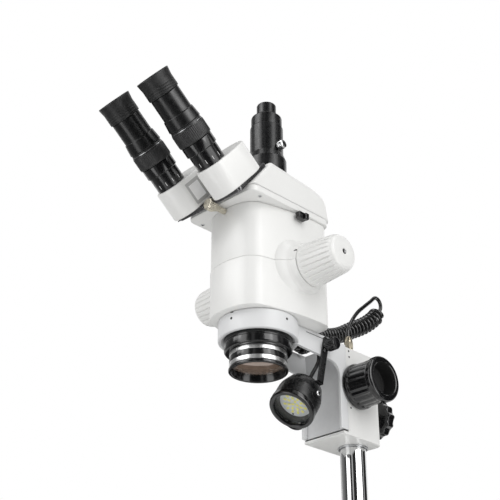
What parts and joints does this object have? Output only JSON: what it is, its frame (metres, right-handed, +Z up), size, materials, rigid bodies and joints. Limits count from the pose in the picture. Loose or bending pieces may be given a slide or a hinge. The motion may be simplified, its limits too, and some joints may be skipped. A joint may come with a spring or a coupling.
{
  "type": "trinocular stereo zoom microscope on a pole stand",
  "caption": "Trinocular stereo zoom microscope with inclined eyepieces, a photo tube, a rack focusing block on a steel pole, a side lamp with a curly cord and a lit base.",
  "frame": {"origin": "on the table top, on the objective's optical axis, which is also the middle of the depth from the eyecups to the pole clamp knob", "axes": "+Z up along the optical axis and the pole; +Y from the optical axis to the pole; +X to the side of the lamp's clamp knob"},
  "size_m": [0.2212, 0.4492, 0.6352],
  "materials": {
    "white_paint": "white enamel, fine satin gloss, over an aluminium casting",
    "grey_paint": "light grey enamel, satin, over an aluminium casting",
    "white_plastic": "white moulded plastic, satin gloss",
    "black_anodised": "black anodised aluminium, satin to gloss",
    "black_plastic": "black moulded plastic, gloss",
    "black_steel": "black painted steel strip",
    "rubber": "black rubber, matte",
    "chrome": "polished chrome plate",
    "steel": "bright turned steel",
    "bare_aluminium": "fine machined aluminium",
    "brass": "nickel-washed brass, satin",
    "lens": "coated glass with an amber reflection",
    "clear": "clear cover glass",
    "frosted": "frosted glass",
    "board": "green circuit board with its parts",
    "led_board": "white circuit board with yellow LEDs",
    "dark_aluminium": "dark grey anodised plate"
  },
  "bodies": {
    "stand": {"base_housing": "white_paint", "base_bottom_plate": "bare_aluminium", "foot_front_left": "rubber", "foot_front_right": "rubber", "foot_rear_left": "rubber", "foot_rear_right": "rubber", "stage_plate": "frosted", "power_board": "board", "mains_inlet": "black_plastic", "pole": "chrome", "pole_flange": "white_paint", "cable_gland": "brass", "pole_lead": "rubber"},
    "clip_left": {"stage_clip_left": "steel"},
    "clip_right": {"stage_clip_right": "steel"},
    "dimmer": {"dimmer_knob": "black_plastic"},
    "sleeve": {"pole_sleeve": "bare_aluminium"},
    "focus_block": {"focus_body": "white_paint", "curly_cord": "rubber"},
    "clamp": {"pole_clamp_knob": "black_plastic"},
    "focus_drive": {"focus_pinion_shaft": "steel", "focus_knob_left": "black_plastic", "focus_knob_right": "black_plastic"},
    "carriage": {"focus_slide": "bare_aluminium", "head_arm": "grey_paint", "lamp_cord": "rubber"},
    "lamp_legs": {"lamp_leg_left": "black_steel", "lamp_leg_right": "black_steel"},
    "leg_knob": {"lamp_leg_knob": "black_plastic"},
    "lamp": {"lamp_housing": "black_anodised", "lamp_bezel": "black_anodised", "lamp_glass": "clear", "lamp_led_board": "led_board", "lamp_strain_relief": "rubber"},
    "head": {"head_spigot": "black_anodised", "objective_barrel": "black_anodised", "objective_lens": "lens", "head_lower_body": "white_paint", "head_upper_body": "white_paint", "head_flange": "white_paint", "head_cover": "white_paint", "photo_tube": "black_anodised", "swivel_plate": "dark_aluminium"},
    "zoom": {"zoom_shaft": "steel", "zoom_knob_left": "white_plastic", "zoom_knob_right": "white_plastic"},
    "head_screw": {"head_thumb_screw": "brass"},
    "light_lever": {"light_path_lever": "black_anodised"},
    "photo_adapter": {"camera_adapter": "black_anodised"},
    "photo_screw": {"photo_tube_screw": "chrome"},
    "box_left": {"prism_box_left": "white_paint", "eyepiece_tube_left": "black_anodised"},
    "box_right": {"prism_box_right": "white_paint", "eyepiece_tube_right": "black_anodised"},
    "dioptre_left": {"dioptre_ring_left": "black_anodised"},
    "dioptre_right": {"dioptre_ring_right": "black_anodised"},
    "ocular_left": {"eyepiece_left": "black_anodised", "eyecup_left": "rubber"},
    "ocular_right": {"eyepiece_right": "black_anodised", "eyecup_right": "rubber"}
  },
  "joints": [
    {"name": "pole_height", "type": "slide", "parent": "stand", "child": "sleeve", "axis": [0, 0, 1], "range_m": [-0.11, 0], "deforming": ["pole_lead"]},
    {"name": "pole_swing", "type": "hinge", "parent": "sleeve", "child": "focus_block", "pos_m": [0, 0.156, 0.275], "axis": [0, 0, 1], "range_deg": [-45, 45]},
    {"name": "clamp_turn", "type": "hinge", "parent": "focus_block", "child": "clamp", "pos_m": [0, 0.19, 0.2705], "axis": [0, 1, 0], "range_deg": [-180, 180]},
    {"name": "focus_travel", "type": "slide", "parent": "focus_block", "child": "carriage", "axis": [0, 0, 1], "range_m": [0, 0.045], "deforming": ["curly_cord"]},
    {"name": "focus_knob_turn", "type": "hinge", "parent": "focus_block", "child": "focus_drive", "pos_m": [0, 0.131, 0.2847], "axis": [1, 0, 0], "range_deg": [-435, 5]},
    {"name": "head_rotation", "type": "hinge", "parent": "carriage", "child": "head", "pos_m": [0, 0, 0.335], "axis": [0, 0, 1], "range_deg": [-180, 180]},
    {"name": "zoom_turn", "type": "hinge", "parent": "head", "child": "zoom", "pos_m": [0, 0.0221, 0.3923], "axis": [1, 0, 0], "range_deg": [-135, 135]},
    {"name": "prism_box_left_swing", "type": "hinge", "parent": "head", "child": "box_left", "pos_m": [-0.033, -0.09024, 0.50277], "axis": [0, -0.7826, 0.6225], "range_deg": [-12, 12]},
    {"name": "eyepiece_left_slide", "type": "slide", "parent": "box_left", "child": "ocular_left", "axis": [0, -0.7826, 0.6225], "range_m": [0, 0.005]},
    {"name": "dioptre_left_turn", "type": "hinge", "parent": "box_left", "child": "dioptre_left", "pos_m": [-0.033, -0.1058, 0.4832], "axis": [0, -0.7826, 0.6225], "range_deg": [-2, 182]},
    {"name": "prism_box_right_swing", "type": "hinge", "parent": "head", "child": "box_right", "pos_m": [0.033, -0.09024, 0.50277], "axis": [0, -0.7826, 0.6225], "range_deg": [-12, 12]},
    {"name": "eyepiece_right_slide", "type": "slide", "parent": "box_right", "child": "ocular_right", "axis": [0, -0.7826, 0.6225], "range_m": [0, 0.005]},
    {"name": "dioptre_right_turn", "type": "hinge", "parent": "box_right", "child": "dioptre_right", "pos_m": [0.033, -0.1058, 0.4832], "axis": [0, -0.7826, 0.6225], "range_deg": [-2, 182]},
    {"name": "light_path_pull", "type": "slide", "parent": "head", "child": "light_lever", "axis": [1, 0, 0], "range_m": [0, 0.012]},
    {"name": "photo_adapter_slide", "type": "slide", "parent": "head", "child": "photo_adapter", "axis": [0, 0, 1], "range_m": [0, 0.008]},
    {"name": "photo_screw_turn", "type": "hinge", "parent": "head", "child": "photo_screw", "pos_m": [0.02, 0.016, 0.567], "axis": [1, 0, 0], "range_deg": [-180, 180]},
    {"name": "head_screw_turn", "type": "hinge", "parent": "head", "child": "head_screw", "pos_m": [0, -0.075, 0.456], "axis": [0, 1, 0], "range_deg": [-180, 180]},
    {"name": "lamp_leg_swing", "type": "hinge", "parent": "carriage", "child": "lamp_legs", "pos_m": [0, 0.076, 0.319], "axis": [1, 0, 0], "range_deg": [-5, 12]},
    {"name": "leg_knob_turn", "type": "hinge", "parent": "lamp_legs", "child": "leg_knob", "pos_m": [0.036, 0.076, 0.319], "axis": [1, 0, 0], "range_deg": [-180, 180]},
    {"name": "lamp_tilt", "type": "hinge", "parent": "lamp_legs", "child": "lamp", "pos_m": [0, 0.06195, 0.25905], "axis": [1, 0, 0], "range_deg": [-10, 20], "deforming": ["lamp_cord"]},
    {"name": "stage_clip_left_turn", "type": "hinge", "parent": "stand", "child": "clip_left", "pos_m": [-0.038, 0.058, 0.06], "axis": [0, 0, 1], "range_deg": [-30, 30]},
    {"name": "stage_clip_right_turn", "type": "hinge", "parent": "stand", "child": "clip_right", "pos_m": [0.038, 0.058, 0.06], "axis": [0, 0, 1], "range_deg": [-30, 30]},
    {"name": "dimmer_turn", "type": "hinge", "parent": "stand", "child": "dimmer", "pos_m": [0.058, -0.092, 0.032], "axis": [0, 1, 0], "range_deg": [0, 270]}
  ],
  "couplings": [
    {"joint": "focus_knob_turn", "follows": "focus_travel", "rad_per_m": -166.67},
    {"joint": "prism_box_left_swing", "follows": "prism_box_right_swing", "ratio": -1},
    {"joint": "dioptre_left_turn", "follows": "eyepiece_left_slide", "rad_per_m": 628.3},
    {"joint": "dioptre_right_turn", "follows": "eyepiece_right_slide", "rad_per_m": 628.3}
  ]
}
